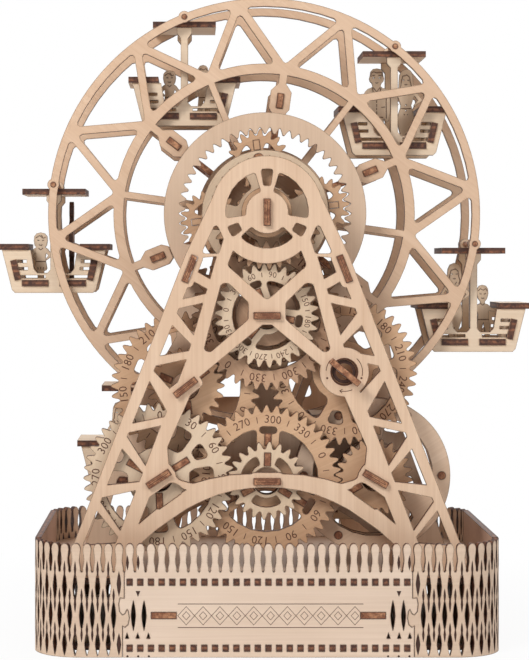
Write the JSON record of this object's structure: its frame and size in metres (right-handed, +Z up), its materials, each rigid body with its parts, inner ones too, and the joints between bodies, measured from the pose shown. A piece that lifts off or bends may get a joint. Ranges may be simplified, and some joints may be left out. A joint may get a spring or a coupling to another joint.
{
  "type": "mechanical ferris wheel toy",
  "caption": "Laser-cut plywood ferris wheel with hanging cabins, driven through a visible gear train by a key and steadied by a flywheel, on a fenced base.",
  "frame": {"origin": "centre of the underside of the base, on the table", "axes": "+Z up, +X to the right as seen from the front, -Y toward the viewer; the wheel turns about an axis along Y"},
  "size_m": [0.266, 0.15, 0.3165],
  "materials": {
    "plywood_pale": "matt, unvarnished",
    "plywood_cream": "matt, unvarnished",
    "plywood_pink": "matt, unvarnished",
    "plywood_gold": "matt, unvarnished",
    "plywood_edge": "scorched laser-cut edges"
  },
  "bodies": {
    "stand": {"base_front_panel": "plywood_cream", "base_rear_panel": "plywood_cream", "base_side_panels": "plywood_cream", "base_corners": "plywood_cream", "lower_deck": "plywood_cream", "upper_deck": "plywood_cream", "base_ties": "plywood_edge", "front_frame": "plywood_pale", "ring_gear_frame": "plywood_gold", "rear_frame": "plywood_gold", "frame_ties": "plywood_edge", "main_axle": "plywood_edge", "gear_axles": "plywood_edge"},
    "wheel": {"front_rim": "plywood_pink", "rear_rim": "plywood_pink", "radial_plates": "plywood_edge", "front_carrier": "plywood_cream", "rear_carrier": "plywood_cream", "wheel_pins": "plywood_edge"},
    "sun": {"sun_gear": "plywood_gold", "sun_drive_gear": "plywood_gold", "sun_keys": "plywood_edge"},
    "idler": {"idler_small_gear": "plywood_cream", "idler_large_gear": "plywood_gold", "idler_pinion": "plywood_gold", "idler_keys": "plywood_edge"},
    "low_arbor": {"low_front_gear": "plywood_cream", "low_rear_gear": "plywood_gold", "low_keys": "plywood_edge"},
    "left_arbor": {"left_large_gear": "plywood_cream", "left_spacer": "plywood_cream", "left_pinion": "plywood_gold", "left_keys": "plywood_edge"},
    "upper_arbor": {"upper_large_gear": "plywood_gold", "upper_small_gear": "plywood_gold", "upper_keys": "plywood_edge"},
    "crank": {"crank_key": "plywood_edge", "crank_gear": "plywood_gold"},
    "flywheel": {"flywheel_pinion": "plywood_gold", "flywheel_front_disc": "plywood_gold", "flywheel_rear_disc": "plywood_gold", "flywheel_pegs": "plywood_edge"},
    "planet_1": {"planet_gear_1": "plywood_gold"},
    "planet_2": {"planet_gear_2": "plywood_gold"},
    "planet_3": {"planet_gear_3": "plywood_gold"},
    "planet_4": {"planet_gear_4": "plywood_gold"},
    "cabin_1": {"cabin_1": "plywood_cream", "riders_1": "plywood_cream"},
    "cabin_2": {"cabin_2": "plywood_cream", "riders_2": "plywood_cream"},
    "cabin_3": {"cabin_3": "plywood_cream", "riders_3": "plywood_cream"},
    "cabin_4": {"cabin_4": "plywood_cream", "riders_4": "plywood_cream"},
    "cabin_5": {"cabin_5": "plywood_cream", "riders_5": "plywood_cream"},
    "cabin_6": {"cabin_6": "plywood_cream", "riders_6": "plywood_cream"}
  },
  "joints": [
    {"name": "wheel_spin", "type": "hinge", "parent": "stand", "child": "wheel", "pos_m": [0, -0.017, 0.209], "axis": [0, 1, 0], "continuous": true},
    {"name": "sun_spin", "type": "hinge", "parent": "stand", "child": "sun", "pos_m": [0, -0.053, 0.209], "axis": [0, 1, 0], "continuous": true},
    {"name": "idler_spin", "type": "hinge", "parent": "stand", "child": "idler", "pos_m": [0, -0.053, 0.15954], "axis": [0, 1, 0], "continuous": true},
    {"name": "crank_turn", "type": "hinge", "parent": "stand", "child": "crank", "pos_m": [0.03683, -0.045, 0.13278], "axis": [0, 1, 0], "continuous": true},
    {"name": "upper_spin", "type": "hinge", "parent": "stand", "child": "upper_arbor", "pos_m": [-0.03891, -0.049, 0.12533], "axis": [0, 1, 0], "continuous": true},
    {"name": "left_spin", "type": "hinge", "parent": "stand", "child": "left_arbor", "pos_m": [-0.0518, -0.053, 0.08167], "axis": [0, 1, 0], "continuous": true},
    {"name": "low_spin", "type": "hinge", "parent": "stand", "child": "low_arbor", "pos_m": [0, -0.053, 0.0804], "axis": [0, 1, 0], "continuous": true},
    {"name": "flywheel_spin", "type": "hinge", "parent": "stand", "child": "flywheel", "pos_m": [0.0518, -0.041, 0.08167], "axis": [0, 1, 0], "continuous": true},
    {"name": "planet_1_spin", "type": "hinge", "parent": "wheel", "child": "planet_1", "pos_m": [-0.00329, -0.029, 0.2358], "axis": [0, 1, 0], "continuous": true},
    {"name": "planet_2_spin", "type": "hinge", "parent": "wheel", "child": "planet_2", "pos_m": [0.0268, -0.029, 0.21229], "axis": [0, 1, 0], "continuous": true},
    {"name": "planet_3_spin", "type": "hinge", "parent": "wheel", "child": "planet_3", "pos_m": [0.00329, -0.029, 0.1822], "axis": [0, 1, 0], "continuous": true},
    {"name": "planet_4_spin", "type": "hinge", "parent": "wheel", "child": "planet_4", "pos_m": [-0.0268, -0.029, 0.20571], "axis": [0, 1, 0], "continuous": true},
    {"name": "cabin_1_swing", "type": "hinge", "parent": "wheel", "child": "cabin_1", "pos_m": [0.06526, -0.017, 0.29253], "axis": [0, 1, 0], "continuous": true},
    {"name": "cabin_2_swing", "type": "hinge", "parent": "wheel", "child": "cabin_2", "pos_m": [0.10497, -0.017, 0.19425], "axis": [0, 1, 0], "continuous": true},
    {"name": "cabin_3_swing", "type": "hinge", "parent": "wheel", "child": "cabin_3", "pos_m": [0.03971, -0.017, 0.11072], "axis": [0, 1, 0], "continuous": true},
    {"name": "cabin_4_swing", "type": "hinge", "parent": "wheel", "child": "cabin_4", "pos_m": [-0.06526, -0.017, 0.12547], "axis": [0, 1, 0], "continuous": true},
    {"name": "cabin_5_swing", "type": "hinge", "parent": "wheel", "child": "cabin_5", "pos_m": [-0.10497, -0.017, 0.22375], "axis": [0, 1, 0], "continuous": true},
    {"name": "cabin_6_swing", "type": "hinge", "parent": "wheel", "child": "cabin_6", "pos_m": [-0.03971, -0.017, 0.30728], "axis": [0, 1, 0], "continuous": true}
  ],
  "couplings": [
    {"joint": "sun_spin", "follows": "wheel_spin", "ratio": 4},
    {"joint": "idler_spin", "follows": "wheel_spin", "ratio": -4.4},
    {"joint": "crank_turn", "follows": "wheel_spin", "ratio": 1.4},
    {"joint": "upper_spin", "follows": "wheel_spin", "ratio": 8.8},
    {"joint": "left_spin", "follows": "wheel_spin", "ratio": -27.657},
    {"joint": "low_spin", "follows": "wheel_spin", "ratio": 55.314},
    {"joint": "flywheel_spin", "follows": "wheel_spin", "ratio": -110.63},
    {"joint": "planet_1_spin", "follows": "wheel_spin", "ratio": -3},
    {"joint": "planet_2_spin", "follows": "wheel_spin", "ratio": -3},
    {"joint": "planet_3_spin", "follows": "wheel_spin", "ratio": -3},
    {"joint": "planet_4_spin", "follows": "wheel_spin", "ratio": -3},
    {"joint": "cabin_1_swing", "follows": "wheel_spin", "ratio": -1},
    {"joint": "cabin_2_swing", "follows": "wheel_spin", "ratio": -1},
    {"joint": "cabin_3_swing", "follows": "wheel_spin", "ratio": -1},
    {"joint": "cabin_4_swing", "follows": "wheel_spin", "ratio": -1},
    {"joint": "cabin_5_swing", "follows": "wheel_spin", "ratio": -1},
    {"joint": "cabin_6_swing", "follows": "wheel_spin", "ratio": -1}
  ]
}
